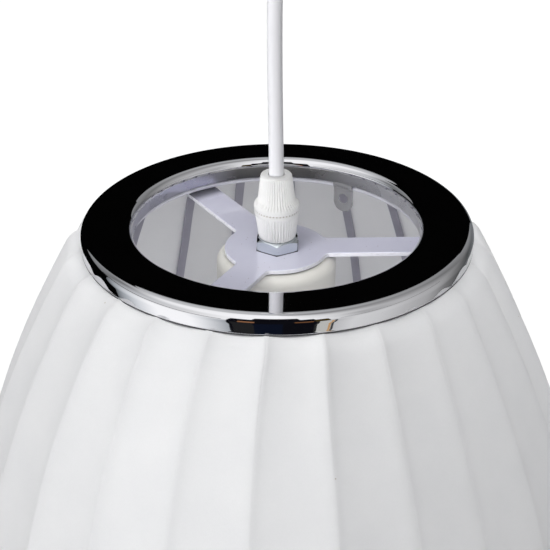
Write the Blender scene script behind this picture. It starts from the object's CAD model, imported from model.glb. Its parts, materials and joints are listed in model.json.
"""Looks of a ribbed pendant lantern: a white skin stretched over vertical ribs, a chromed neck ring,
a three-arm spider with a lampholder, a cord grip and a taut cord from a ceiling canopy.

The lantern's pieces are written in millimetres, with heights from the flat top of the neck ring.
The camera, the cord's routes and the studio are in metres."""
import json
from math import atan2, ceil, cos, degrees, exp, hypot, pi, radians, sin, sqrt, tan

import bmesh
import bpy
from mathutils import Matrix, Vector, noise


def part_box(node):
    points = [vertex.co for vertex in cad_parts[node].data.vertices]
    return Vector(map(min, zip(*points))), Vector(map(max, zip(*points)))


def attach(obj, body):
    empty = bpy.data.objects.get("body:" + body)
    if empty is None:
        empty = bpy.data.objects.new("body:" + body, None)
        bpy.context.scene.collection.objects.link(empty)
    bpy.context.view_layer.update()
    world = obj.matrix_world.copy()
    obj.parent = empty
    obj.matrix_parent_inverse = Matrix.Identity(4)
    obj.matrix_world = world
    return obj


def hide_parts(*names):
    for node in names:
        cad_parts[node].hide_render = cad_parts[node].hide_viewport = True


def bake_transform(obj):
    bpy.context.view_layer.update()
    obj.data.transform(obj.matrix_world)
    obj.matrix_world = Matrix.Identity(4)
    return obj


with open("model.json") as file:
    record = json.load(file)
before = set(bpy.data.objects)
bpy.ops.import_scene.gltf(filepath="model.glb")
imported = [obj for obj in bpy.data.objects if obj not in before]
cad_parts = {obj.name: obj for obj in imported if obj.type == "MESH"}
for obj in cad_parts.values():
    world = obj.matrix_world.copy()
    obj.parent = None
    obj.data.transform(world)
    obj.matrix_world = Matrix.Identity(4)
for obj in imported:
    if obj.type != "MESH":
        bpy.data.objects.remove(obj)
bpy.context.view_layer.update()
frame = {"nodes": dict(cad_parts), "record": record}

MM = 0.001
RING_TOP_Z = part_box("neck_ring")[1].z      # the flat of the neck ring
PARTS = bpy.context.scene.collection


# ---------------------------------------------------------------- camera

CAMERA_AT = (-0.00054, -0.47903, RING_TOP_Z + 0.23559)
CAMERA_DOWN = radians(28.72)
CAMERA_LENS = 84.8
CAMERA_SENSOR = 36


def make_camera():
    data = bpy.data.cameras.new("camera")
    data.sensor_width = CAMERA_SENSOR
    data.lens = CAMERA_LENS
    camera = bpy.data.objects.new("camera", data)
    camera.location = CAMERA_AT
    camera.rotation_euler = (pi / 2 - CAMERA_DOWN, 0, 0)
    PARTS.objects.link(camera)
    bpy.context.scene.camera = camera


make_camera()


# ---------------------------------------------------------------- mesh helpers

SAME_PLACE = 1e-7      # metres: two points this close are one
BEVEL_FROM = radians(40)
TUBE_SIDES, RINGS_PER_MM = 32, 0.5


def at(x, y, z):
    """A point of the lantern in metres, from millimetres and a height from the ring's top."""
    return Vector((x * MM, y * MM, RING_TOP_Z + z * MM))


def new_piece(name, points, faces):
    """A smooth-shaded mesh from points in metres."""
    mesh = bpy.data.meshes.new(name)
    mesh.from_pydata(points, [], faces)
    mesh.validate()
    piece = bpy.data.objects.new(name, mesh)
    PARTS.objects.link(piece)
    fix_normals(piece)
    mesh.shade_smooth()
    return piece


def fix_normals(piece):
    """Joins doubled points and turns the faces the same way round."""
    work = bmesh.new()
    work.from_mesh(piece.data)
    bmesh.ops.remove_doubles(work, verts=work.verts, dist=SAME_PLACE)
    bmesh.ops.recalc_face_normals(work, faces=work.faces)
    work.to_mesh(piece.data)
    work.free()


def sharpen(piece, degrees_limit=35):
    """Edges that bend more than this stay sharp."""
    piece.data.set_sharp_from_angle(angle=radians(degrees_limit))


def bevel(piece, width_mm, segments=3):
    change = piece.modifiers.new("edges", "BEVEL")
    change.width = width_mm * MM
    change.segments = segments
    change.limit_method = "ANGLE"
    change.angle_limit = BEVEL_FROM
    change.harden_normals = True


def arc(cx, cz, r, start, end, steps):
    """Points along an arc in a side view, angles in degrees."""
    turn = [radians(start + (end - start) * k / steps) for k in range(steps + 1)]
    return [(cx + r * cos(a), cz + r * sin(a)) for a in turn]


def lathe(name, outline, turns, closed=False, shape=None):
    """Revolves (r, z) points. shape(i, angle) may add to the radius and height of outline point i."""
    rows = len(outline)
    points = []
    for i, (r, z) in enumerate(outline):
        for k in range(turns):
            angle = 2 * pi * k / turns
            dr, dz = shape(i, angle) if shape else (0, 0)
            radius = max(0, r + dr) * MM
            points.append((radius * cos(angle), radius * sin(angle), RING_TOP_Z + (z + dz) * MM))
    faces = []
    for i in range(rows if closed else rows - 1):
        j = (i + 1) % rows
        for k in range(turns):
            m = (k + 1) % turns
            faces.append((i * turns + k, i * turns + m, j * turns + m, j * turns + k))
    return new_piece(name, points, faces)


def plate(name, outline, low_z, thick):
    """A flat plate from an outline of (x, y) points."""
    work = bmesh.new()
    ring = [work.verts.new(at(x, y, low_z)) for x, y in outline]
    edges = [work.edges.new((ring[i], ring[i - 1])) for i in range(len(ring))]
    flat = bmesh.ops.triangle_fill(work, edges=edges, use_beauty=True)
    low_side = [g for g in flat["geom"] if isinstance(g, bmesh.types.BMFace)]
    grown = bmesh.ops.extrude_face_region(work, geom=low_side)
    top = [g for g in grown["geom"] if isinstance(g, bmesh.types.BMVert)]
    bmesh.ops.translate(work, verts=top, vec=(0, 0, thick * MM))
    bmesh.ops.recalc_face_normals(work, faces=work.faces)
    bmesh.ops.dissolve_limit(work, angle_limit=radians(1), verts=work.verts, edges=work.edges)
    mesh = bpy.data.meshes.new(name)
    work.to_mesh(mesh)
    work.free()
    piece = bpy.data.objects.new(name, mesh)
    PARTS.objects.link(piece)
    return piece


def tube(name, route, radius):
    """A round tube along straight runs between route points, in metres; also gives its centreline."""
    line = []
    for a, b in zip(route, route[1:]):
        steps = max(1, ceil((Vector(b) - Vector(a)).length / MM * RINGS_PER_MM))
        line += [Vector(a).lerp(Vector(b), k / steps) for k in range(steps)]
    line.append(Vector(route[-1]))
    points, faces = [], []
    for i, p in enumerate(line):
        along = (line[min(i + 1, len(line) - 1)] - line[max(i - 1, 0)]).normalized()
        side = along.orthogonal() if i == 0 else side - along * side.dot(along)
        side.normalize()
        other = along.cross(side)
        for k in range(TUBE_SIDES):
            a = 2 * pi * k / TUBE_SIDES
            points.append(p + radius * (side * cos(a) + other * sin(a)))
    for i in range(len(line) - 1):
        for k in range(TUBE_SIDES):
            m = (k + 1) % TUBE_SIDES
            low, high = i * TUBE_SIDES, (i + 1) * TUBE_SIDES
            faces.append((low + k, low + m, high + m, high + k))
    faces.append(tuple(range(TUBE_SIDES)))
    faces.append(tuple((len(line) - 1) * TUBE_SIDES + k for k in range(TUBE_SIDES)))
    return new_piece(name, points, faces), line


# ---------------------------------------------------------------- material helpers

MIX_A, MIX_B, MIX_OUT = 6, 7, 2      # the colour sockets of a Mix node, whose names repeat


def colour_ramp(tree, factor, stops):
    """Colours along a value from 0 to 1; stops are (place, colour)."""
    made = tree.nodes.new("ShaderNodeValToRGB")
    marks = made.color_ramp.elements
    while len(marks) < len(stops):
        marks.new(0.5)
    for mark, (place, colour) in zip(marks, stops):
        mark.position = place
        mark.color = (*colour, 1)
    tree.links.new(factor, made.inputs["Fac"])
    return made.outputs["Color"]


def colour_mix(tree, a, b, blend_type="MIX"):
    made = tree.nodes.new("ShaderNodeMix")
    made.data_type = "RGBA"
    made.blend_type = blend_type
    tree.links.new(a, made.inputs[MIX_A])
    tree.links.new(b, made.inputs[MIX_B])
    return made


class Paint:
    """A node material with a Principled shader and a few helpers for procedural detail."""

    def __init__(self, name, colour, roughness, metallic=0.0, **sockets):
        self.material = bpy.data.materials.new(name)
        self.material.use_nodes = True
        self.tree = self.material.node_tree
        self.shader = self.tree.nodes["Principled BSDF"]
        self.output = self.tree.nodes["Material Output"]
        self.shader.inputs["Base Color"].default_value = (*colour, 1)
        self.shader.inputs["Roughness"].default_value = roughness
        self.shader.inputs["Metallic"].default_value = metallic
        for socket, value in sockets.items():
            self.shader.inputs[socket.replace("_", " ")].default_value = value
        self.place = self.tree.nodes.new("ShaderNodeTexCoord").outputs["Object"]
        self.normal = None

    def node(self, kind, **values):
        made = self.tree.nodes.new("ShaderNode" + kind)
        for key, value in values.items():
            if key in made.inputs:
                made.inputs[key].default_value = value
            else:
                setattr(made, key, value)
        return made

    def link(self, a, b):
        self.tree.links.new(a, b)

    def stretched(self, scale):
        mapping = self.node("Mapping")
        mapping.inputs["Scale"].default_value = scale
        self.link(self.place, mapping.inputs["Vector"])
        return mapping.outputs["Vector"]

    def noise(self, scale, detail=3.0, roughness=0.55, stretch=(1, 1, 1)):
        made = self.node("TexNoise", Scale=scale, Detail=detail, Roughness=roughness)
        self.link(self.stretched(stretch), made.inputs["Vector"])
        return made.outputs["Fac"]

    def ramp(self, factor, *stops):
        """stops are (place, grey or colour)."""
        colours = [(place, (tone, tone, tone) if isinstance(tone, float) else tone) for place, tone in stops]
        return colour_ramp(self.tree, factor, colours)

    def colour(self, socket):
        self.link(socket, self.shader.inputs["Base Color"])

    def gloss(self, socket):
        self.link(socket, self.shader.inputs["Roughness"])

    def bump(self, height, depth_mm):
        made = self.node("Bump", Strength=1.0, Distance=depth_mm * MM)
        self.link(height, made.inputs["Height"])
        if self.normal:
            self.link(self.normal, made.inputs["Normal"])
        self.normal = made.outputs["Normal"]
        self.link(self.normal, self.shader.inputs["Normal"])

    def specks(self, scale, size, colour):
        """Stray specks on white. size is where a speck ends and where plain white begins, in its cell."""
        cells = self.node("TexVoronoi", Scale=scale, Randomness=1.0)
        self.link(self.place, cells.inputs["Vector"])
        return self.ramp(cells.outputs["Distance"], (size[0], colour), (size[1], 1.0))

    def multiply(self, a, b):
        made = colour_mix(self.tree, a, b, "MULTIPLY")
        made.inputs["Factor"].default_value = 1.0
        return made.outputs[MIX_OUT]


def wear(piece, paint):
    """Gives a piece one of the PAINTS, and says which of the record's slots it stands for."""
    piece.data.materials.clear()
    piece.data.materials.append(PAINTS[paint].material)


# ---------------------------------------------------------------- materials

def skin_paint():
    """Fine fibrous paper: cool white, faintly mottled, with grain and stray specks; light comes through."""
    paint = Paint("skin_paper", (0.9, 0.9, 0.9), 0.92, IOR=1.35, Specular_IOR_Level=0.25)
    mottle = paint.ramp(paint.noise(45, 4), (0.3, (0.890, 0.895, 0.903)), (0.7, (0.930, 0.933, 0.937)))
    panel = paint.node("Attribute", attribute_name="panel_tone")
    fibre = paint.ramp(paint.noise(2600, 2, 0.7, (1, 1, 0.35)), (0.25, 0.965), (0.7, 1.0))
    spots = paint.specks(55.0, (0.012, 0.022), (0.62, 0.55, 0.46))
    paper = paint.multiply(paint.multiply(mottle, fibre), spots)
    paint.colour(paint.multiply(paper, panel.outputs["Color"]))
    paint.bump(paint.noise(1500, 4, 0.65), 0.045)
    paint.bump(paint.noise(160, 3, 0.5), 0.10)
    through = paint.node("BsdfTranslucent")
    through.inputs["Color"].default_value = (0.80, 0.80, 0.84, 1)
    paint.link(paint.normal, through.inputs["Normal"])
    both = paint.node("MixShader")
    both.inputs["Fac"].default_value = 0.22      # the share of the paper that lets light through
    paint.link(paint.shader.outputs["BSDF"], both.inputs[1])
    paint.link(through.outputs["BSDF"], both.inputs[2])
    paint.link(both.outputs["Shader"], paint.output.inputs["Surface"])
    return paint


def rib_paint():
    paint = Paint("rib_strip", (0.60, 0.60, 0.66), 0.45)
    paint.colour(paint.ramp(paint.noise(90, 3), (0.3, (0.36, 0.35, 0.42)), (0.7, (0.41, 0.40, 0.47))))
    paint.bump(paint.noise(900, 2), 0.03)
    return paint


def chrome_paint():
    paint = Paint("ring_chrome", (0.64, 0.64, 0.66), 0.035, 1.0)
    paint.gloss(paint.ramp(paint.noise(35, 5, 0.6), (0.35, 0.02), (0.75, 0.055)))
    paint.bump(paint.noise(14, 2), 0.012)
    return paint


def band_paint():
    """Satin steel with soft clouds: bluish at the left, dark in the middle, bright at the right."""
    paint = Paint("ring_band", (0.42, 0.42, 0.46), 0.3, 1.0)
    across = paint.node("SeparateXYZ")
    paint.link(paint.stretched((8, 8, 8)), across.inputs["Vector"])      # -0.5 to 0.5 over 125 mm
    place = paint.node("Math", operation="ADD")
    paint.link(across.outputs["X"], place.inputs[0])
    place.inputs[1].default_value = 0.5
    dull = paint.ramp(place.outputs["Value"], (0.05, (0.56, 0.56, 0.66)), (0.27, (0.50, 0.50, 0.57)),
                      (0.36, (0.24, 0.24, 0.25)), (0.62, (0.24, 0.24, 0.25)),
                      (0.72, (0.45, 0.45, 0.47)), (0.85, (0.75, 0.75, 0.78)))
    cloud = paint.noise(60, 4, 0.6)
    paint.colour(paint.multiply(dull, paint.ramp(cloud, (0.35, 0.88), (0.65, 1.0))))
    paint.gloss(paint.ramp(cloud, (0.2, 0.26), (0.8, 0.29)))
    return paint


def spider_paint():
    """Glossy lilac-white powder coat with a little orange peel and a few dust specks."""
    paint = Paint("spider_paint", (0.5, 0.5, 0.6), 0.5, Specular_IOR_Level=0.1,
                  Coat_Weight=1.0, Coat_Roughness=0.05, Coat_IOR=1.85)
    tone = paint.ramp(paint.noise(70, 3), (0.3, (0.635, 0.635, 0.765)), (0.7, (0.665, 0.665, 0.785)))
    spots = paint.specks(330.0, (0.045, 0.09), (0.52, 0.47, 0.45))
    paint.colour(paint.multiply(paint.multiply(tone, spots), under_ring(paint)))
    paint.bump(paint.noise(420, 3, 0.5), 0.012)
    return paint


def under_ring(paint):
    """Less light reaches the end of the left arm, from 54 mm out, where it goes below the ring's band."""
    azimuth = radians(125)
    along = paint.node("VectorMath", operation="DOT_PRODUCT")
    paint.link(paint.place, along.inputs[0])
    along.inputs[1].default_value = (cos(azimuth), sin(azimuth), 0)
    share = paint.node("Math", operation="MULTIPLY")      # metres into shares of 100 mm
    paint.link(along.outputs["Value"], share.inputs[0])
    share.inputs[1].default_value = 10.0
    return paint.ramp(share.outputs["Value"], (0.545, 1.0), (0.575, 0.62), (0.595, 0.34))


def zinc_paint():
    paint = Paint("zinc", (0.62, 0.66, 0.71), 0.25, 1.0)
    cloud = paint.noise(160, 3, 0.5)
    paint.colour(paint.ramp(cloud, (0.3, (0.60, 0.64, 0.68)), (0.7, (0.66, 0.70, 0.73))))
    paint.gloss(paint.ramp(paint.noise(400, 2), (0.3, 0.07), (0.7, 0.12)))
    paint.bump(paint.noise(900, 2), 0.004)
    return paint


def lug_paint():
    paint = Paint("lug_steel", (0.6, 0.6, 0.62), 0.4, 0.7)
    paint.colour(paint.ramp(paint.noise(200, 3), (0.3, (0.45, 0.45, 0.47)), (0.7, (0.52, 0.52, 0.54))))
    paint.gloss(paint.ramp(paint.noise(200, 2), (0.3, 0.20), (0.7, 0.27)))
    return paint


def brass_paint():
    paint = Paint("brass", (0.72, 0.52, 0.22), 0.25, 1.0)
    paint.gloss(paint.ramp(paint.noise(300, 3), (0.3, 0.18), (0.7, 0.4)))
    paint.bump(paint.noise(1500, 2), 0.01)
    return paint


def plastic_paint(name, low, high, roughness, depth_mm=0.02):
    """Moulded plastic: two close tones in soft clouds, with a fine mould texture."""
    paint = Paint(name, low, roughness, Coat_Weight=0.12, Coat_Roughness=0.25)
    paint.colour(paint.ramp(paint.noise(60, 3), (0.3, low), (0.7, high)))
    paint.gloss(paint.ramp(paint.noise(300, 2), (0.3, roughness - 0.06), (0.7, roughness + 0.06)))
    paint.bump(paint.noise(1200, 2), depth_mm)
    return paint


def sheath_paint():
    """Drawn PVC: smooth, with faint lengthwise lines."""
    paint = Paint("cord_sheath", (0.8, 0.8, 0.84), 0.38, Coat_Weight=0.1, Coat_Roughness=0.3)
    lines = paint.noise(900, 2, 0.5, (1, 1, 0.02))
    paint.colour(paint.ramp(lines, (0.3, (0.80, 0.80, 0.83)), (0.7, (0.84, 0.84, 0.87))))
    paint.bump(lines, 0.02)
    return paint


def enamel_paint(name, low, high):
    paint = Paint(name, low, 0.3, Coat_Weight=0.3, Coat_Roughness=0.1)
    paint.colour(paint.ramp(paint.noise(50, 3), (0.3, low), (0.7, high)))
    paint.bump(paint.noise(500, 3), 0.02)
    return paint


PAINTS = {
    "skin": skin_paint(),
    "rib_white": rib_paint(),
    "ring_chrome": chrome_paint(),
    "ring_band": band_paint(),
    "spider_paint": spider_paint(),
    "spider_edge": plastic_paint("spider_edge", (0.80, 0.80, 0.86), (0.84, 0.84, 0.90), 0.3),
    "zinc_steel": zinc_paint(),
    "lug_steel": lug_paint(),
    "cut_edge": plastic_paint("cut_edge", (0.05, 0.05, 0.055), (0.09, 0.09, 0.095), 0.8),
    "brass": brass_paint(),
    "white_plastic": plastic_paint("white_plastic", (0.85, 0.85, 0.845), (0.87, 0.87, 0.865), 0.5,
                                   depth_mm=0.005),
    "seam_dust": plastic_paint("seam_dust", (0.30, 0.24, 0.18), (0.40, 0.33, 0.27), 0.8),
    "cream_plastic": plastic_paint("cream_plastic", (0.66, 0.65, 0.61), (0.70, 0.69, 0.65), 0.36),
    "porcelain": plastic_paint("porcelain", (0.74, 0.73, 0.69), (0.80, 0.79, 0.75), 0.55),
    "brown_core": plastic_paint("brown_core", (0.12, 0.05, 0.025), (0.15, 0.065, 0.03), 0.4),
    "blue_core": plastic_paint("blue_core", (0.03, 0.11, 0.33), (0.04, 0.14, 0.38), 0.4),
    "cord_sheath": sheath_paint(),
    "white_metal": enamel_paint("white_metal", (0.80, 0.80, 0.80), (0.84, 0.84, 0.84)),
    "wire_white": enamel_paint("wire_white", (0.74, 0.74, 0.82), (0.80, 0.80, 0.88)),
}


def dress_cad_nodes():
    """Gives every CAD node the paint of its slot in the record."""
    slots = {part["node"]: part["material_slot"] for part in frame["record"]["subparts"]}
    for name, piece in frame["nodes"].items():
        piece.data.materials.clear()
        piece.data.materials.append(PAINTS[slots[name]].material)


dress_cad_nodes()


# ---------------------------------------------------------------- cord

CORD_RADIUS = 3.0 * MM
# Points on the cord's middle line, in metres.
UPPER_ROUTE = [(-0.0003, 0, -0.0420), (-0.0005, 0, -0.0460), (-0.00065, 0, -0.0540), (-0.00065, 0, -0.0660),
               (-0.00055, 0, -0.0800)]
LOWER_ROUTE = [(-0.00055, 0, -0.0800), (-0.00035, 0, -0.0940), (-0.0001, 0, -0.1080), (0, 0, -0.1215)]


def make_cord():
    """The free cord is two lengths that meet in one straight line and bend where the CAD cord turns."""
    upper, upper_line = tube("cord_upper_sheath", UPPER_ROUTE, CORD_RADIUS)
    lower, lower_line = tube("cord_lower_sheath", LOWER_ROUTE, CORD_RADIUS)
    for piece in (upper, lower):
        wear(piece, "cord_sheath")
        sharpen(piece)
    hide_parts("cord_upper")
    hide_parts("cord_lower")
    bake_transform(upper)
    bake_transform(lower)


make_cord()


# ---------------------------------------------------------------- cord grip and nut

GRIP_RIBS = 42
GRIP_TURNS = GRIP_RIBS * 14
RIB_DEPTH, CAP_RIB_DEPTH = 0.6, 0.55
SEAM_LOW_Z = 4.18                         # a row of teeth closes the seam below the screw cap
NOTCH_H, NOTCH_HALF = 0.7, 0.26           # a notch between two teeth; its half width is a share of a rib
GRIP_LEAN, GRIP_TOP_Z = 0.016, 18.0       # the grip leans a little to the left, about its top
NUT_LOW_Z, NUT_HIGH_Z, NUT_HALF, NUT_TURNED, NUT_X = -12.88, -8.2, 8.4, -2, 0.5


def ribbed(first, last, depth, fade=1):
    """Upright ribs with narrow grooves on outline rows first to last; the end rows are shallower."""
    def shape(i, angle):
        if i < first or i > last:
            return 0, 0
        share = min(1.0, (min(i - first, last - i) + 1) / (fade + 1))
        return -depth * share * (1 - abs(sin(GRIP_RIBS * angle / 2)) ** 0.8), 0
    return shape


def tooth_edge(i, angle):
    """The lower rim of the teeth, rows 1 and 2, has a small arched notch below every rib."""
    turn = GRIP_RIBS * angle / (2 * pi) % 1
    return 0, (NOTCH_H * max(0.0, 1 - abs(turn - 0.5) / NOTCH_HALF) ** 0.5 if i in (1, 2) else 0)


def grip_body_outline():
    """A ribbed cone that widens to a rounded collar, and the neck that goes up into the cap."""
    return [(4.9, -8.18), (7.2, -8.18), (7.55, -7.9), (7.78, -7.3), (8.02, -5.8), (8.28, -3.3), (8.64, -0.6),
            (8.9, 1.2), (9.0, 2.1), (9.05, 2.45), (9.2, 2.7), (9.28, 3.0), (9.3, 3.4), (9.24, 3.8),
            (9.1, 4.05), (8.8, 4.15), (5.9, 4.15), (5.9, 10.6), (5.2, 10.6)]


def grip_cap_outline():
    """A collar, a shoulder, a ribbed cone and a round lip that turns in to the cord."""
    rise = [(6.6, 4.72), (9.0, 4.7), (9.24, 4.8), (9.36, 5.0), (9.42, 5.4), (9.42, 5.7), (9.42, 6.1),
            (9.37, 6.6), (9.18, 7.1), (8.85, 7.55), (8.4, 8.0), (8.0, 8.4), (7.75, 9.0), (7.52, 10.3),
            (7.22, 13.0), (6.88, 15.7), (6.64, 17.6), (6.56, 18.2)]
    lip = arc(5.25, 18.75, 1.25, 10, 90, 8) + arc(3.75, 19.55, 0.45, 90, 180, 5)
    return rise + lip + [(3.3, 18.0), (3.3, 14.0)]


def make_grip():
    lower = lathe("grip_lower_body", grip_body_outline(), GRIP_TURNS, shape=ribbed(2, 9, RIB_DEPTH))
    upper = lathe("grip_screw_cap", grip_cap_outline(), GRIP_TURNS, shape=ribbed(7, 19, CAP_RIB_DEPTH, 2))
    rim = [(9.2, 4.9), (9.2, SEAM_LOW_Z), (9.1, SEAM_LOW_Z), (9.1, 4.9)]
    teeth = lathe("grip_seam_teeth", rim, GRIP_TURNS, shape=tooth_edge)
    gap = lathe("grip_seam_gap", [(9.0, SEAM_LOW_Z), (9.0, 4.85)], turns=120)
    wear(gap, "seam_dust")
    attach(gap, "cap")
    for piece in (lower, upper, teeth, gap):
        for point in piece.data.vertices:
            point.co.x += GRIP_LEAN * (GRIP_TOP_Z * MM - (point.co.z - RING_TOP_Z))
    for piece in (lower, upper, teeth):
        wear(piece, "white_plastic")
        sharpen(piece, 50)
    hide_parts("grip_body")
    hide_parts("grip_cap")
    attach(lower, "lamp")
    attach(teeth, "cap")
    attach(upper, "cap")


def hexagon_r(angle, flat, corner_r):
    """Distance from the middle of a hexagon with rounded corners to its outline."""
    from_corner = (angle % (pi / 3)) - pi / 6
    if abs(abs(from_corner) - pi / 6) <= atan2((flat - corner_r) * tan(pi / 6), flat):
        return flat / cos(abs(from_corner) - pi / 6)
    reach = (flat - corner_r) / cos(pi / 6)
    return reach * cos(from_corner) + sqrt(corner_r ** 2 - (reach * sin(from_corner)) ** 2)


def make_nut():
    """A hexagon nut that points at the front, chamfered above and below."""
    turns, bore, corner_r, slope, chamfer = 360, 5.0, 0.8, 0.64, 0.3
    rows = [[], [], [], [], [], []]
    for k in range(turns):
        angle = 2 * pi * k / turns
        turned = angle + radians(NUT_TURNED)
        corner = hexagon_r(angle, NUT_HALF, corner_r)
        cut = slope * (corner - NUT_HALF + chamfer)
        outline = ((bore, NUT_LOW_Z), (corner - 0.25, NUT_LOW_Z), (corner, NUT_LOW_Z + 0.4 * cut),
                   (corner, NUT_HIGH_Z - cut), (NUT_HALF - chamfer, NUT_HIGH_Z), (bore, NUT_HIGH_Z))
        for row, (r, z) in zip(rows, outline):
            row.append(at(NUT_X + r * cos(turned), r * sin(turned), z))
    faces = [(i * turns + k, i * turns + (k + 1) % turns, (i + 1) * turns + (k + 1) % turns,
              (i + 1) * turns + k) for i in range(len(rows) - 1) for k in range(turns)]
    nut = new_piece("nut_chamfered", [p for row in rows for p in row], faces)
    sharpen(nut, 20)
    wear(nut, "zinc_steel")
    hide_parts("hex_nut")
    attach(nut, "lamp")


def make_nut_seat():
    """The thin dark line that the nut stands on."""
    corner = (NUT_HALF + 0.2) / cos(pi / 6)
    turns = [radians(60 * k - 30 + NUT_TURNED) for k in range(6)]
    outline = [(NUT_X + corner * cos(a), corner * sin(a)) for a in turns]
    seat = plate("nut_seat_line", outline, low_z=-13.02, thick=0.2)
    wear(seat, "cut_edge")
    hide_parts("hex_nut")
    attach(seat, "lamp")


make_grip()
make_nut()
make_nut_seat()


# ---------------------------------------------------------------- spider and lampholder

HUB_R, ARM_HALF, ARM_END, ARM_FILLET, ARM_TIP_R = 21.5, 7.0, 79.0, 3.0, 1.5
ARM_FIRST = 1.5      # degrees
ARM_LOW_Z, ARM_THICK = -15.0, 2.0
HOLDER_R, HOLDER_ROUNDING, HOLDER_TOP_Z = 25.0, 4.6, -15.05
HOLDER_SEAM_Z, HOLDER_LOW_Z, HOLDER_MOUTH_R = -44.0, -84.0, 14.2
HOLDER_TURNS = 160


def spider_outline():
    """Hub circle, three arms, a fillet in each corner and small round corners at the tips."""
    centre_y = ARM_HALF + ARM_FILLET
    centre_x = sqrt((HUB_R + ARM_FILLET) ** 2 - centre_y ** 2)
    meets = degrees(atan2(centre_y, centre_x))
    one = arc(ARM_END - ARM_TIP_R, -ARM_HALF + ARM_TIP_R, ARM_TIP_R, -90, 0, 4)
    one += arc(ARM_END - ARM_TIP_R, ARM_HALF - ARM_TIP_R, ARM_TIP_R, 0, 90, 4)
    one += arc(centre_x, centre_y, ARM_FILLET, 270, 180 + meets, 6)
    one += arc(0, 0, HUB_R, meets, 120 - meets, 24)[1:]
    one += [(x * cos(2 * pi / 3) + y * sin(2 * pi / 3), x * sin(2 * pi / 3) - y * cos(2 * pi / 3))
            for x, y in arc(centre_x, centre_y, ARM_FILLET, 180 + meets, 270, 6)][1:]
    points = []
    for k in range(3):
        turn = radians(ARM_FIRST + 120 * k)
        points += [(x * cos(turn) - y * sin(turn), x * sin(turn) + y * cos(turn)) for x, y in one]
    return points


def make_spider():
    spider = plate("spider_plate", spider_outline(), ARM_LOW_Z, ARM_THICK)
    bevel(spider, 0.35)
    spider.data.shade_smooth()
    wear(spider, "spider_paint")
    spider.data.materials.append(PAINTS["spider_edge"].material)
    for face in spider.data.polygons:      # the upright sides have the second paint
        face.material_index = 1 if abs(face.normal.z) < 0.5 else 0
    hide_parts("spider")
    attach(spider, "lamp")


def holder_cap_outline():
    """A cylinder with a groove above its rim and a rounded top, which stands a small step higher."""
    r, low, high = HOLDER_R, HOLDER_SEAM_Z, HOLDER_TOP_Z
    side = [(20.0, low), (r - 0.4, low), (r, low + 0.4), (r, low + 3), (r - 0.5, low + 3.5),
            (r - 0.5, low + 4.5), (r, low + 5)]
    top = arc(r - HOLDER_ROUNDING, high - 0.55 - HOLDER_ROUNDING, HOLDER_ROUNDING, 0, 90, 14)
    return side + top + [(20.2, high - 0.5), (20.0, high), (5.2, high)]


def holder_skirt_outline():
    """A skirt with a band of small steps to grip, down to a chamfered mouth."""
    r, high, low, mouth = HOLDER_R, HOLDER_SEAM_Z, HOLDER_LOW_Z, HOLDER_MOUTH_R
    skirt = [(22.0, high - 0.1), (r - 0.4, high - 0.1), (r, high - 0.5), (r, high - 8 - 0.001)]
    skirt += [(r - 0.35 * (k % 2), high - 8 - 0.9 * k) for k in range(1, 14)]
    skirt += [(r, high - 21.5), (r, high - 26), (r - 2.9, low + 0.8), (r - 3.6, low)]
    return skirt + [(15.2, low), (14.4, low + 0.8), (mouth, low + 3), (mouth, -62)]


def make_holder():
    cap = lathe("holder_cap_shell", holder_cap_outline(), HOLDER_TURNS)
    lower = lathe("holder_skirt_shell", holder_skirt_outline(), HOLDER_TURNS)
    for piece, node in ((cap, "holder_cap"), (lower, "holder_skirt")):
        sharpen(piece, 30)
        wear(piece, "cream_plastic")
        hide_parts(node)
        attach(piece, "lamp")
    gap = lathe("holder_top_gap", [(21.25, -15.03), (21.05, -15.3), (20.2, -15.5)], HOLDER_TURNS)
    wear(gap, "cut_edge")
    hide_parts("holder_cap")
    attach(gap, "lamp")


make_spider()
make_holder()


# ---------------------------------------------------------------- neck ring

RING_R, HOLE_R, ROUND_OUT, ROUND_IN = 80.4, 59.3, 3.8, 3.5
WALL_OUT, WALL_IN, SHEET = 7.6, 8.4, 0.8
RING_TURNS = 360
RING_SHIFT, RING_STRETCH = 0.35, 0.003      # the outer edge lies a hair to the right of the hole,
TILT_X, TILT_Y = 0.0018, 0.001              # and the ring is higher at the right and at the back
LUG_W, LUG_LOW_Z, LUG_HOLE_Z, LUG_HOLE_R = 9.4, -22.6, -16.3, 2.3
LUG_AZIMUTHS = (60, 180, 300)
LUG_LAP, LUG_GAP = 1.2, 0.1                 # the lug reaches this far up behind the band
LUG_STEP, LUG_STEP_H = 1.2, 1.6             # and steps this far outwards below it


def ring_outline():
    """From the wall's lower edge, over the outer rounding and the flat, to the inner rounding."""
    edge = [(RING_R - 0.55, -WALL_OUT + 0.15), (RING_R - 0.2, -WALL_OUT - 0.02), (RING_R, -WALL_OUT + 0.18),
            (RING_R - 0.05, -WALL_OUT + 0.4), (RING_R - 0.03, -WALL_OUT + 0.7), (RING_R, -WALL_OUT + 1.2)]
    outer = arc(RING_R - ROUND_OUT, -ROUND_OUT, ROUND_OUT, 0, 90, 24)
    flat = [(RING_R - ROUND_OUT - 4, 0), (HOLE_R + ROUND_IN + 4, 0)]
    return edge + outer + flat + arc(HOLE_R + ROUND_IN, -ROUND_IN, ROUND_IN, 90, 180, 24)


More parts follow.
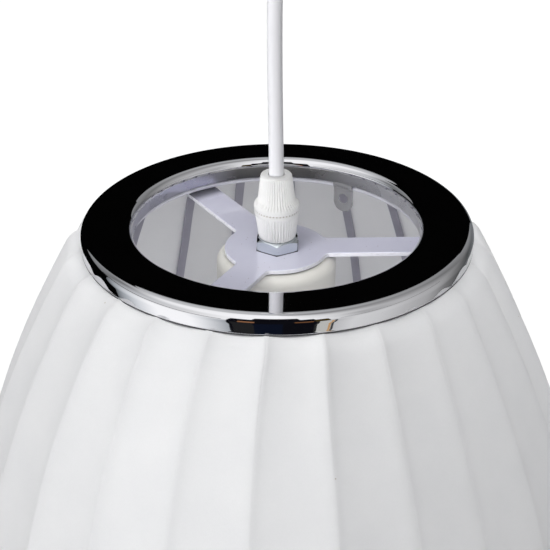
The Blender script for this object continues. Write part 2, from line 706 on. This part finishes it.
def make_ring():
    ring = lathe("neck_ring_chrome", ring_outline(), RING_TURNS)
    sharpen(ring, 60)
    wear(ring, "ring_chrome")
    low_edge = [(RING_R - 0.05, -WALL_OUT + 0.05), (RING_R - 0.05, -WALL_OUT - 0.5),
                (RING_R - 0.9, -WALL_OUT - 0.6)]
    edge = lathe("neck_ring_edge", low_edge, RING_TURNS)
    wear(edge, "cut_edge")
    wall = [(HOLE_R, -ROUND_IN), (HOLE_R, -WALL_IN + 0.25), (HOLE_R + 0.12, -WALL_IN),
            (HOLE_R + SHEET - 0.1, -WALL_IN), (HOLE_R + SHEET, -ROUND_IN)]
    band = lathe("neck_ring_band", wall, RING_TURNS)
    sharpen(band, 60)
    wear(band, "ring_band")
    for piece in (ring, edge, band):
        for point in piece.data.vertices:
            x, y = point.co.x, point.co.y
            share = min(1.0, (hypot(x, y) / MM - HOLE_R) / (RING_R - HOLE_R - ROUND_OUT))
            point.co.x += (RING_SHIFT * MM + RING_STRETCH * x) * share
            point.co.z += TILT_X * x + TILT_Y * y
        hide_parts("neck_ring")
        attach(piece, "shade")


def lug_edge(angle):
    """Distance from the hole's centre to the lug's outline: square at the top, round at the tip."""
    tip_centre = LUG_LOW_Z + LUG_W / 2 - LUG_HOLE_Z
    step, reach = 0.05, 0.0
    while True:
        reach += step
        y, z = reach * cos(angle), reach * sin(angle)
        if abs(y) > LUG_W / 2 or z > -WALL_IN - LUG_HOLE_Z + LUG_LAP:
            return reach - step
        if z < tip_centre and hypot(y, z - tip_centre) > LUG_W / 2:
            return reach - step


def lug_radius(z):
    """The lug steps outwards below the band in one soft bend."""
    rise = min(1, max(0, (-WALL_IN - LUG_LAP - z) / LUG_STEP_H))
    return HOLE_R + LUG_GAP + LUG_STEP * rise * rise * (3 - 2 * rise)


def make_lugs():
    spokes, steps = 48, 10
    for count, azimuth in enumerate(LUG_AZIMUTHS):
        points, faces = [], []
        for side in (0, SHEET):
            for i in range(steps + 1):
                for k in range(spokes):
                    angle = 2 * pi * k / spokes
                    reach = LUG_HOLE_R + (lug_edge(angle) - LUG_HOLE_R) * i / steps
                    y, z = reach * cos(angle), LUG_HOLE_Z + reach * sin(angle)
                    r = lug_radius(z) + side
                    turn = radians(azimuth) + y / r
                    points.append(at(r * cos(turn), r * sin(turn), z))
        layer = (steps + 1) * spokes
        for k in range(spokes):
            m = (k + 1) % spokes
            for i in range(steps):
                near = (i * spokes + k, i * spokes + m, (i + 1) * spokes + m, (i + 1) * spokes + k)
                faces += [near, tuple(layer + n for n in near)]
            for row in (0, steps * spokes):
                faces.append((row + k, row + m, layer + row + m, layer + row + k))
        lug = new_piece(f"neck_ring_lug_{count + 1}", points, faces)
        sharpen(lug, 50)
        bevel(lug, 0.15, 2)
        wear(lug, "lug_steel")
        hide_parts("neck_ring")
        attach(lug, "shade")


make_ring()
make_lugs()


# ---------------------------------------------------------------- skin

RIBS, RIB_FIRST = 24, 10.7
# How far some ribs stand from their even place, in degrees.
RIB_SHIFT = {3: -0.65, 4: -0.25, 14: 0.4, 15: 0.45, 16: 0.25, 17: 0.35, 18: 0.42, 19: 0.32, 20: 0.25,
             21: 0.3}
# How far some ribs wander round the lantern at the neck and lower down, in degrees. Those not named
# here don't wander at the back, and have the usual wander at the front.
WANDER = {4: (0, -0.7), 7: (0, -1.3), 14: (1.6, -0.8), 15: (0.6, -1.0), 16: (1.35, -0.7), 17: (1.4, -0.65),
          18: (0.6, 0.05), 19: (0.3, 0.1), 20: (0.4, -1.0), 21: (0.2, -0.8)}
BACK_WANDER, FRONT_WANDER, FRONT_FROM = (0, 0), (0.6, -0.3), 12
WANDER_FROM_Z, NECK_WANDER_H, LOW_WANDER_H = -12, 14, 50
# Brightness of the paper panels right of these ribs.
PANEL_TONE = {2: 1.05, 3: 1.055, 4: 0.95, 5: 0.945, 6: 0.94, 7: 1.055, 8: 1.05, 13: 0.95, 14: 0.97,
              15: 0.99, 16: 1.0, 17: 0.995, 18: 0.955, 19: 0.98, 20: 1.01}
OTHER_TONE = 0.985
NECK_R, NECK_Z, SHOULDER_R = 77.0, -7.6, 12.6
SIDE_R, BELLY_R, SIDE_TOP, SIDE_END = 470.0, 200.0, 30.0, 15.0
NECK_ROWS = 3                           # rows of the profile that lie on the neck, before the shoulder
COLUMNS = 26                            # points across a panel
HELD_R, FREE_OVER = 76.5, 8             # the sheet is held up to here, and free this far outside it
FLAT_HALF, FLAT_SLOPE = 0.6, 0.131      # it lies flat this far beside a rib, at this slope to the panel
SAG, NECK_SAG, NECK_SAG_H = 0.72, 0.85, 17      # its sag between two ribs, and the extra at the neck
DIP = 2.1                               # its sag where it rolls over the shoulder
CREASE, PUCKER = 0.09, 0.12             # rounding of the crease beside a rib, and unevenness
FULLER, FULLER_H = 0.9, 35              # it stands out a little near the neck, most at the back
WIDER, TO_LEFT = 0.006, 0.05
HOOP_WIRE_R, HOOP_BELOW_NECK, HOOP_TURNS = 1.4, 3.65, 240
STRIP_TOP, STRIP_LOW, STRIP_HALF = 1.2, 2.2, 2.0      # a rib strip's depths below the sheet, half width


def skin_profile():
    """Side view of a rib line from the neck to the bottom: (radius, height, steepness of its normal)."""
    shoulder = (NECK_R, NECK_Z - SHOULDER_R)
    start = (NECK_R + SHOULDER_R * cos(radians(SIDE_TOP)), shoulder[1] + SHOULDER_R * sin(radians(SIDE_TOP)))
    side = (start[0] - SIDE_R * cos(radians(SIDE_TOP)), start[1] - SIDE_R * sin(radians(SIDE_TOP)))
    end = (side[0] + SIDE_R * cos(radians(SIDE_END)), side[1] + SIDE_R * sin(radians(SIDE_END)))
    belly = (end[0] - BELLY_R * cos(radians(SIDE_END)), end[1] - BELLY_R * sin(radians(SIDE_END)))
    half = [(75.2, NECK_Z - 0.5, 90), (75.8, NECK_Z - 0.1, 90), (76.4, NECK_Z, 90)]
    for (centre, radius, first, last, steps) in ((shoulder, SHOULDER_R, 90, SIDE_TOP, 22),
                                                 (side, SIDE_R, SIDE_TOP, SIDE_END, 28),
                                                 (belly, BELLY_R, SIDE_END, 0, 14)):
        line = arc(*centre, radius, first, last, steps)
        lean = [first + (last - first) * k / steps for k in range(steps + 1)]
        half += [(r, z, t) for (r, z), t in zip(line, lean)][1 if radius != SHOULDER_R else 0:]
    middle = half[-1][1]
    return half + [(r, 2 * middle - z, -t) for r, z, t in reversed(half[:-1])]


def rib_azimuth(k, z):
    """Where rib k stands round the lantern at a height; it wanders a little on the way down."""
    neck, low = WANDER.get(k % RIBS, BACK_WANDER if k < FRONT_FROM else FRONT_WANDER)
    depth = max(0.0, WANDER_FROM_Z - z)
    first = RIB_FIRST + RIB_SHIFT.get(k % RIBS, 0)
    wander = neck * exp(-depth / NECK_WANDER_H) + low * min(1.0, depth / LOW_WANDER_H)
    return radians(first + 360 / RIBS * k + wander)


def softer_of(a, b, width):
    """The smaller of two heights, with the corner between them rounded."""
    share = min(1.0, max(0.0, 0.5 + 0.5 * (b - a) / width))
    return b + (a - b) * share - width * share * (1 - share)


def make_skin():
    """The sheet lies flat on each rib strip, and between two ribs it sags inwards, most at the neck."""
    profile = skin_profile()
    across = [0.5 - 0.5 * cos(pi * c / COLUMNS) for c in range(COLUMNS)]
    points, faces = [], []
    for r, z, lean in profile:
        free = min(1.0, max(0.0, (r - HELD_R) / FREE_OVER))
        fuller = FULLER * max(0.0, 1 + z / FULLER_H) * free
        lean = radians(lean)
        for k in range(RIBS):
            a, b = rib_azimuth(k, z), rib_azimuth(k + 1, z)
            chord = 2 * r * sin((b - a) / 2)
            middle = (a + b) / 2
            grown = fuller * (0.5 + 0.5 * sin(middle))
            for u in across:
                along = (u - 0.5) * chord
                near = min(u, 1 - u) * chord
                inner = max(0.0, near - FLAT_HALF) / (chord - 2 * FLAT_HALF)
                slack = SAG + NECK_SAG * exp(min(0.0, z - WANDER_FROM_Z) / NECK_SAG_H)
                hang = slack + (DIP - slack) * max(0.0, abs(sin(lean)) - 0.5) * 2
                hollow = FLAT_SLOPE * FLAT_HALF - 4 * hang * inner * (1 - inner)
                sink = softer_of(FLAT_SLOPE * near, hollow, CREASE) * free
                sink += PUCKER * free * noise.noise(Vector((u * 2 + 7 * k, z / 45, r / 60)))
                depth = r * cos((b - a) / 2) + grown + sink * cos(lean)
                x = (depth * cos(middle) - along * sin(middle)) * (1 + WIDER * free) - TO_LEFT * free
                y, height = depth * sin(middle) + along * cos(middle), z + sink * sin(lean)
                limit = RING_R - 1.2 + 3 * max(0.0, 0.2 - WALL_OUT - height)      # inside the ring's wall
                kept = min(1.0, limit / hypot(x, y))
                points.append(at(kept * x, kept * y, height))
    width = RIBS * COLUMNS
    for i in range(len(profile) - 1):
        for k in range(width):
            m = (k + 1) % width
            faces.append((i * width + k, (i + 1) * width + k, (i + 1) * width + m, i * width + m))
    skin = new_piece("skin_sheet", points, faces)
    tones = skin.data.color_attributes.new("panel_tone", "FLOAT_COLOR", "POINT")
    for v in range(len(points)):
        tone = PANEL_TONE.get(v % width // COLUMNS, OTHER_TONE)
        tones.data[v].color = (tone, tone, tone, 1)
    wear(skin, "skin")
    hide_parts("skin")
    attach(skin, "shade")


def make_strips():
    """The strips wander a little to the side of where a perfect frame has them, as the sheet does."""
    section = ((STRIP_TOP, STRIP_HALF), (STRIP_TOP, -STRIP_HALF), (STRIP_LOW, -STRIP_HALF),
               (STRIP_LOW, STRIP_HALF))
    rows = [(r, z, radians(lean)) for r, z, lean in skin_profile()[NECK_ROWS:-NECK_ROWS]]
    for k in range(RIBS):
        points = []
        for r, z, lean in rows:
            azimuth = rib_azimuth(k, z)
            for inset, half in section:
                depth = r - inset * cos(lean)
                points.append(at(depth * cos(azimuth) - half * sin(azimuth),
                                 depth * sin(azimuth) + half * cos(azimuth), z - inset * sin(lean)))
        faces = [(4 * i + c, 4 * i + (c + 1) % 4, 4 * i + 4 + (c + 1) % 4, 4 * i + 4 + c)
                 for i in range(len(rows) - 1) for c in range(4)]
        faces += [(0, 1, 2, 3), tuple(len(points) - 4 + c for c in range(4))]
        strip = new_piece(f"rib_strip_{k + 1:02d}", points, faces)
        wear(strip, "rib_white")
        sharpen(strip, 40)
        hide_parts(f"rib_{k + 1:02d}")
        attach(strip, "shade")


def make_hoop(name, node, centre_r, centre_z, wire_r):
    hoop = lathe(name, arc(centre_r, centre_z, wire_r, 0, 360, 20)[:-1], HOOP_TURNS, closed=True)
    wear(hoop, "wire_white")
    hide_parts(node)
    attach(hoop, "shade")


def make_hoops():
    """Hoops under the ring's band, at the neck, and mirrored at the bottom."""
    bottom_z = skin_profile()[-1][1] + 0.5
    make_hoop("collar_hoop_wire", "collar_hoop", centre_r=61.9, centre_z=-10.2, wire_r=1.3)
    make_hoop("neck_hoop_wire", "neck_hoop", HELD_R, NECK_Z - HOOP_BELOW_NECK, HOOP_WIRE_R)
    make_hoop("bottom_hoop_wire", "bottom_hoop", HELD_R, bottom_z + HOOP_BELOW_NECK, HOOP_WIRE_R)


make_hoops()
make_strips()
make_skin()


# ---------------------------------------------------------------- studio

LAMP_AIM = (0, 0, RING_TOP_Z - 0.005)      # the studio stands round the middle of the neck
ROOM_R, BACKDROP_R, BACKDROP_LEVEL = 20, 28, 1.05
ROOM_GAIN = 1.42      # emission of the room and the cards for a colour of 1
WHOLE_DOME = ((-180, 180), (-90, 90))
PATCH_STEP = 5        # degrees between the points of a card or dome
SOFTBOX_AWAY, SOFTBOX_SIZE = 1.5, 0.8
CEILING_PIECES = ["ceiling_bracket", "canopy", "canopy_screws", "ceiling_gland"]
BLACK_CLOTH, DARK_CLOTHES = (0.0007, 0.0007, 0.0007), (0.004, 0.004, 0.006)


def emitter(name, colour, strength):
    """A material that only shines."""
    material = bpy.data.materials.new(name)
    material.use_nodes = True
    tree = material.node_tree
    tree.nodes.clear()
    glow = tree.nodes.new("ShaderNodeEmission")
    glow.inputs["Color"].default_value = (*colour, 1)
    glow.inputs["Strength"].default_value = strength
    out = tree.nodes.new("ShaderNodeOutputMaterial")
    tree.links.new(glow.outputs[0], out.inputs[0])
    return material


def stage_piece(name, points, faces, material, camera, glossy):
    """Something of the studio: it lights nothing, and only the camera or reflections see it."""
    mesh = bpy.data.meshes.new(name)
    mesh.from_pydata(points, [], faces)
    mesh.materials.append(material)
    made = bpy.data.objects.new(name, mesh)
    PARTS.objects.link(made)
    made.location = LAMP_AIM
    made.visible_camera, made.visible_glossy = camera, glossy
    made.visible_diffuse = made.visible_transmission = False
    made.visible_volume_scatter = made.visible_shadow = False


def dome_patch(azimuths, elevations, radius, rise=0):
    """Points and faces of a piece of a sphere. Azimuth 0 is at the camera, positive to the right.

    The upper edge climbs by rise degrees from left to right."""
    across = max(1, round((azimuths[1] - azimuths[0]) / PATCH_STEP))
    up = max(1, round((elevations[1] - elevations[0]) / PATCH_STEP))
    points, faces = [], []
    for i in range(up + 1):
        for j in range(across + 1):
            a = radians(azimuths[0] + (azimuths[1] - azimuths[0]) * j / across)
            e = radians(elevations[0] + (elevations[1] + rise * (j / across - 0.5) - elevations[0]) * i / up)
            points.append((radius * sin(a) * cos(e), -radius * cos(a) * cos(e), radius * sin(e)))
    for i in range(up):
        for j in range(across):
            k = i * (across + 1) + j
            faces.append((k, k + 1, k + across + 2, k + across + 1))
    return points, faces


def card(name, azimuths, elevations, colour, radius, rise=0):
    """A curved card that only reflections see."""
    shape = dome_patch(azimuths, elevations, radius, rise)
    stage_piece(name, *shape, emitter(name, colour, ROOM_GAIN), camera=False, glossy=True)


def room_material():
    """The room as the chrome sees it: brighter on the left, dim behind on the right."""
    material = emitter("room", (1, 1, 1), ROOM_GAIN)
    tree = material.node_tree
    place = tree.nodes.new("ShaderNodeTexCoord")
    axes = tree.nodes.new("ShaderNodeSeparateXYZ")
    tree.links.new(place.outputs["Object"], axes.inputs[0])
    front = tree.nodes.new("ShaderNodeMath")
    front.operation = "MULTIPLY"
    front.inputs[1].default_value = -1.0
    tree.links.new(axes.outputs["Y"], front.inputs[0])
    turn = tree.nodes.new("ShaderNodeMath")
    turn.operation = "ARCTAN2"
    tree.links.new(axes.outputs["X"], turn.inputs[0])
    tree.links.new(front.outputs[0], turn.inputs[1])

    def graded(source, low, high, stops):
        """A colour by a value from low to high; a stop is place, brightness and blueness."""
        span = tree.nodes.new("ShaderNodeMapRange")
        span.inputs["From Min"].default_value = low
        span.inputs["From Max"].default_value = high
        tree.links.new(source, span.inputs["Value"])
        colours = [(place, (grey, grey * (1 + blue / 2), grey * (1 + blue))) for place, grey, blue in stops]
        return colour_ramp(tree, span.outputs["Result"], colours)

    def by_azimuth(*stops):
        """A colour by direction, in degrees: 0 at the camera, positive to the right."""
        return graded(turn.outputs[0], -pi, pi, [(0.5 + a / 360, level, blue) for a, level, blue in stops])

    table = by_azimuth((-108, 0.02, 0.1), (-100, 0.30, 0.15), (-86, 0.70, 0.06), (-72, 1.0, 0),
                       (-50, 1.0, 0), (-42, 0.80, 0.03), (-27, 0.35, 0.12), (24, 0.40, 0), (43, 0.66, 0),
                       (60, 0.60, 0), (78, 0.47, 0), (95, 0.38, 0), (112, 0.18, 0), (129, 0.07, 0.05),
                       (150, 0.16, 0.1), (178, 0.14, 0.1))
    walls = by_azimuth((-140, 0.28, 0.03), (-109, 0.16, 0.04), (-97, 0.38, 0.05), (-80, 0.58, 0.03),
                       (-55, 0.68, 0), (-20, 0.98, 0), (20, 0.92, 0), (50, 0.40, 0), (75, 0.46, 0),
                       (100, 0.34, 0), (125, 0.17, 0), (150, 0.24, 0.02))
    top = by_azimuth((-170, 0.50, 0.02), (-128, 0.55, 0.02), (-100, 0.90, 0), (-60, 0.95, 0), (0, 1.0, 0),
                     (60, 0.55, 0), (95, 0.32, 0), (128, 0.24, 0), (170, 0.42, 0.02))

    def blend(source, low, high, a, b):
        weight = graded(source, low, high, [(0.0, 0.0, 0), (1.0, 1.0, 0)])
        mix = colour_mix(tree, a, b)
        tree.links.new(weight, mix.inputs["Factor"])
        return mix.outputs[MIX_OUT]

    lower = blend(axes.outputs["Z"], ROOM_R * 0.02, ROOM_R * 0.30, table, walls)
    all_round = blend(axes.outputs["Z"], ROOM_R * 0.62, ROOM_R * 0.82, lower, top)
    tree.links.new(all_round, tree.nodes["Emission"].inputs["Color"])
    return material


def softbox(name, azimuth, elevation, power):
    """A soft light on a sphere round the neck. Azimuth 0 is at the camera, positive to the right."""
    a, e = radians(azimuth), radians(elevation)
    data = bpy.data.lights.new(name, "AREA")
    data.size = SOFTBOX_SIZE
    data.energy = power
    light = bpy.data.objects.new(name, data)
    PARTS.objects.link(light)
    light.location = Vector(LAMP_AIM) + SOFTBOX_AWAY * Vector((sin(a) * cos(e), -cos(a) * cos(e), sin(e)))
    light.rotation_euler = (light.location - Vector(LAMP_AIM)).to_track_quat("Z", "Y").to_euler()
    light.visible_glossy = False
    return light


def softboxes(group, *rows):
    """Soft lights of a group. A row is name, azimuth, elevation and power."""
    return [softbox(group + name, *row) for name, *row in rows]


def link_lights(lights, name, pieces, state):
    """With INCLUDE the lights shine on these pieces only, and with EXCLUDE on all but them."""
    chosen = bpy.data.collections.new(name)
    for piece in pieces:
        chosen.objects.link(bpy.data.objects[piece])
    for member in chosen.collection_objects:
        member.light_linking.link_state = state
    for light in lights:
        light.light_linking.receiver_collection = chosen


def dim_ceiling():
    """The ceiling pieces are above the picture, where they would only darken the cord and the nut."""
    for node in CEILING_PIECES:
        frame["nodes"][node].visible_shadow = False
        frame["nodes"][node].visible_glossy = False


def make_world():
    """The world is black; the camera sees a white backdrop."""
    world = bpy.data.worlds.new("studio")
    bpy.context.scene.world = world
    world.use_nodes = True
    world.node_tree.nodes["Background"].inputs["Strength"].default_value = 0.0
    bpy.context.scene.view_settings.view_transform = "Standard"
    white = emitter("backdrop", (1, 1, 1), BACKDROP_LEVEL)
    stage_piece("backdrop", *dome_patch(*WHOLE_DOME, BACKDROP_R), white, camera=True, glossy=False)


def make_reflections():
    """What the chrome mirrors: the room, a black cloth behind, and the photographer at the table."""
    stage_piece("room", *dome_patch(*WHOLE_DOME, ROOM_R), room_material(), camera=False, glossy=True)
    card("back_cloth", (150, 226), (-4, 40), BLACK_CLOTH, 9, 19)
    card("back_cloth_low", (182, 255), (-60, 12), BLACK_CLOTH, 9.2)
    card("photographer", (-27, 21), (-60, 35), DARK_CLOTHES, 8)
    card("photographer_head", (-15, 13), (30, 50), DARK_CLOTHES, 8)
    card("photographer_blue", (-13, 3), (-40, -6), (0.004, 0.006, 0.014), 7.8)
    card("photographer_grey", (-25, -13), (-45, -2), (0.016, 0.016, 0.017), 7.8)
    card("hand_left", (-21, -12), (1, 14), (0.26, 0.12, 0.06), 7.7)
    card("hand_right", (9, 19), (2, 12), (0.16, 0.07, 0.03), 7.7)
    card("sleeve", (20, 28), (4, 26), (0.05, 0.035, 0.012), 7.75)
    card("stool", (21.5, 30.5), (-48, 1), (0.50, 0.50, 0.47), 7.9)
    card("stool_leg", (28.7, 30), (-40, 0), (0.52, 0.30, 0.13), 7.8)
    card("stool_edge_left", (20.6, 22.2), (-50, 4), (0.02, 0.02, 0.02), 7.7)
    card("stool_edge_right", (30.3, 31.7), (-50, 3), (0.05, 0.05, 0.05), 7.7)
    card("table_edge_left", (-112, -30), (13, 16), (0.02, 0.02, 0.02), 7.6)
    card("table_edge_right", (34, 100), (14, 16), (0.12, 0.12, 0.12), 7.6)


def make_lights():
    """The room's lights leave out the spider, the cord and the grip, which each have their own."""
    room_lights = softboxes(
        "", ("left", -70, 8, 7.3), ("left_high", -70, 45, 9.1), ("front_high", -15, 45, 1.9),
        ("front_right_high", 10, 45, 6.6), ("right_high", 40, 45, 7.6), ("rim", 120, 8, 3.4),
        ("rim_high", 120, 45, 3.2), ("back", 180, 35, 13.0), ("low_front", -20, -35, 7.5),
        ("low_right", 80, -35, 3.0), ("bottom", 0, -88, 10.1))
    spider_lights = softboxes(
        "spider_", ("low_left", -40, 10, 17.0), ("low_front", 10, 10, 14.0), ("left", -70, 45, 3.2),
        ("front_left", -40, 45, 7.0), ("front", -5, 36, 5.8), ("right", 52, 45, 2.6), ("top", 0, 88, 3.8))
    cord_lights = softboxes(
        "cord_", ("far_left", -110, 8, 8.0), ("left", -25, 8, 19.8), ("right", 20, 8, 1.3),
        ("back", 120, 8, 11.5), ("left_high", -40, 45, 3.7))
    grip_lights = softboxes(
        "grip_", ("far_left", -110, 20, 5.4), ("left", -50, 8, 8.0), ("front", -5, 8, 12.0),
        ("back", 110, 8, 7.5), ("high", -25, 45, 4.6), ("behind", 180, 35, 8.0))
    cord = ["cord_upper_sheath", "cord_lower_sheath"]
    grip = ["grip_lower_body", "grip_screw_cap", "grip_seam_teeth", "grip_seam_gap"]
    link_lights(room_lights, "all_but_spider_cord_grip", ["spider_plate"] + cord + grip, "EXCLUDE")
    link_lights(spider_lights, "spider_only", ["spider_plate"], "INCLUDE")
    link_lights(cord_lights, "cord_only", cord, "INCLUDE")
    link_lights(grip_lights, "grip_only", grip, "INCLUDE")


dim_ceiling()
make_world()
make_reflections()
make_lights()
